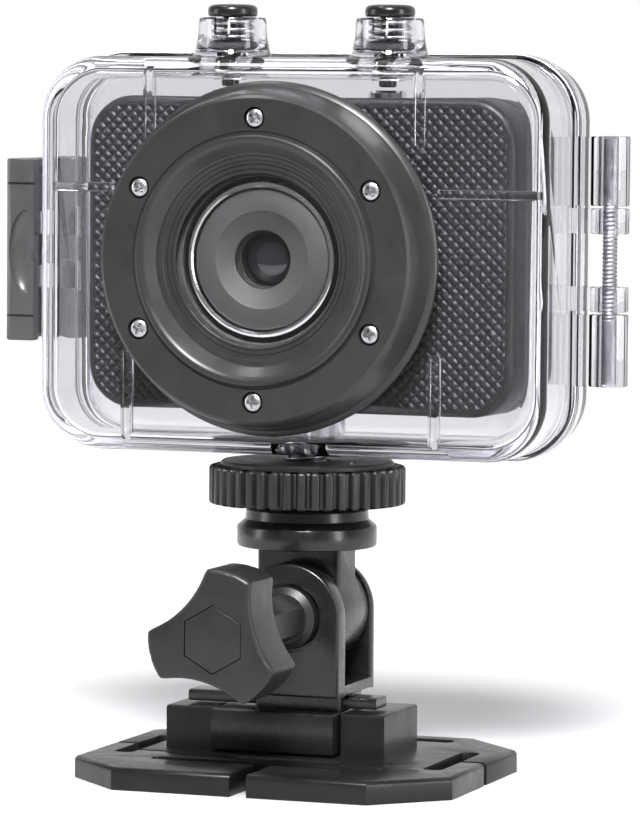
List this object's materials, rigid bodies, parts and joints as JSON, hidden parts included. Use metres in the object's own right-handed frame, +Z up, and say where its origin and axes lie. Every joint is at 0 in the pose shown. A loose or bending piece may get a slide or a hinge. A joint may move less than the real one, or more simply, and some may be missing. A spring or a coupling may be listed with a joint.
{
  "type": "action camera in waterproof housing",
  "caption": "Small action camera inside a clear waterproof housing with a round lens port, on a tilting clip mount with an octagonal strap base.",
  "frame": {"origin": "on the strap base underside, straight below the tripod stud", "axes": "+Z up, the lens faces -Y, the hinge is at +X and the latch at -X"},
  "size_m": [0.0883, 0.056, 0.1054],
  "materials": {
    "black_plastic": "glossy moulded black plastic",
    "satin_plastic": "satin dark grey moulded plastic",
    "clear_plastic": "clear polished polycarbonate",
    "rubber": "soft black rubber",
    "silicone": "pale translucent silicone",
    "steel": "plain nickel-plated steel",
    "chrome": "bright chrome",
    "lens_glass": "dark coated glass",
    "circuit_board": "green solder mask",
    "battery_wrap": "dull grey-blue wrap"
  },
  "bodies": {
    "base": {"base_plate": "black_plastic"},
    "clip": {"clip_yoke": "black_plastic", "clamp_nut": "steel"},
    "clamp_knob": {"knob_grip": "satin_plastic", "knob_cap": "satin_plastic", "clamp_bolt": "steel"},
    "tilt_head": {"tilt_head": "black_plastic", "tripod_stud": "steel"},
    "thumb_wheel": {"thumb_wheel": "satin_plastic"},
    "housing": {"front_shell": "clear_plastic", "lens_bezel": "black_plastic", "bezel_gasket": "rubber", "bezel_screw_1": "steel", "bezel_screw_2": "steel", "bezel_screw_3": "steel", "bezel_screw_4": "steel", "bezel_screw_5": "steel", "bezel_screw_6": "steel", "lens_window": "clear_plastic", "window_seal": "rubber", "tripod_insert": "steel", "hinge_pin": "steel", "plunger_seal_left": "rubber", "plunger_seal_right": "rubber", "plunger_spring_left": "steel", "plunger_spring_right": "steel", "camera_front_cover": "satin_plastic", "camera_rear_cover": "satin_plastic", "camera_screw_1": "steel", "camera_screw_2": "steel", "camera_screw_3": "steel", "camera_screw_4": "steel", "camera_lens_barrel": "satin_plastic", "camera_lens_ring": "chrome", "camera_lens_plate": "satin_plastic", "camera_lens_element": "lens_glass", "camera_image_sensor": "lens_glass", "camera_circuit_board": "circuit_board", "camera_battery": "battery_wrap", "camera_screen": "lens_glass", "camera_screen_window": "clear_plastic"},
    "plunger_left": {"plunger_left": "black_plastic", "plunger_clip_left": "steel"},
    "plunger_right": {"plunger_right": "black_plastic", "plunger_clip_right": "steel"},
    "camera_button_left": {"camera_button_left": "steel"},
    "camera_button_right": {"camera_button_right": "steel"},
    "rear_door": {"rear_door": "clear_plastic", "door_seal": "silicone", "latch_pin": "steel"},
    "latch": {"latch_lever": "black_plastic"}
  },
  "joints": [
    {"name": "clip_slide", "type": "slide", "parent": "base", "child": "clip", "axis": [0, 1, 0], "range_m": [0, 0.0088]},
    {"name": "knob_turn", "type": "hinge", "parent": "clip", "child": "clamp_knob", "pos_m": [0, -0.02, 0.0221], "axis": [0, 1, 0], "continuous": true},
    {"name": "head_tilt", "type": "hinge", "parent": "clip", "child": "tilt_head", "pos_m": [0, 0, 0.0221], "axis": [0, 1, 0], "range_deg": [-60, 60]},
    {"name": "wheel_turn", "type": "hinge", "parent": "tilt_head", "child": "thumb_wheel", "pos_m": [0, 0, 0.04], "axis": [0, 0, 1], "continuous": true},
    {"name": "housing_pan", "type": "hinge", "parent": "tilt_head", "child": "housing", "pos_m": [0, 0, 0.046], "axis": [0, 0, 1], "range_deg": [-180, 180]},
    {"name": "door_swing", "type": "hinge", "parent": "housing", "child": "rear_door", "pos_m": [0.0414, 0.0049, 0.071], "axis": [0, 0, -1], "range_deg": [0, 150]},
    {"name": "latch_swing", "type": "hinge", "parent": "rear_door", "child": "latch", "pos_m": [-0.0409, 0.0109, 0.07125], "axis": [0, 0, -1], "range_deg": [0, 90]},
    {"name": "plunger_left_push", "type": "slide", "parent": "housing", "child": "plunger_left", "axis": [0, 0, -1], "range_m": [0, 0.0012], "stiffness_N_per_m": 500, "springref_m": -0.001, "deforming": ["plunger_spring_left"]},
    {"name": "camera_button_left_push", "type": "slide", "parent": "housing", "child": "camera_button_left", "axis": [0, 0, -1], "range_m": [0, 0.0009], "stiffness_N_per_m": 300, "springref_m": -0.0005},
    {"name": "plunger_right_push", "type": "slide", "parent": "housing", "child": "plunger_right", "axis": [0, 0, -1], "range_m": [0, 0.0012], "stiffness_N_per_m": 500, "springref_m": -0.001, "deforming": ["plunger_spring_right"]},
    {"name": "camera_button_right_push", "type": "slide", "parent": "housing", "child": "camera_button_right", "axis": [0, 0, -1], "range_m": [0, 0.0009], "stiffness_N_per_m": 300, "springref_m": -0.0005}
  ],
  "couplings": [
    {"joint": "camera_button_left_push", "follows": "plunger_left_push", "ratio": 0.75},
    {"joint": "camera_button_right_push", "follows": "plunger_right_push", "ratio": 0.75}
  ]
}
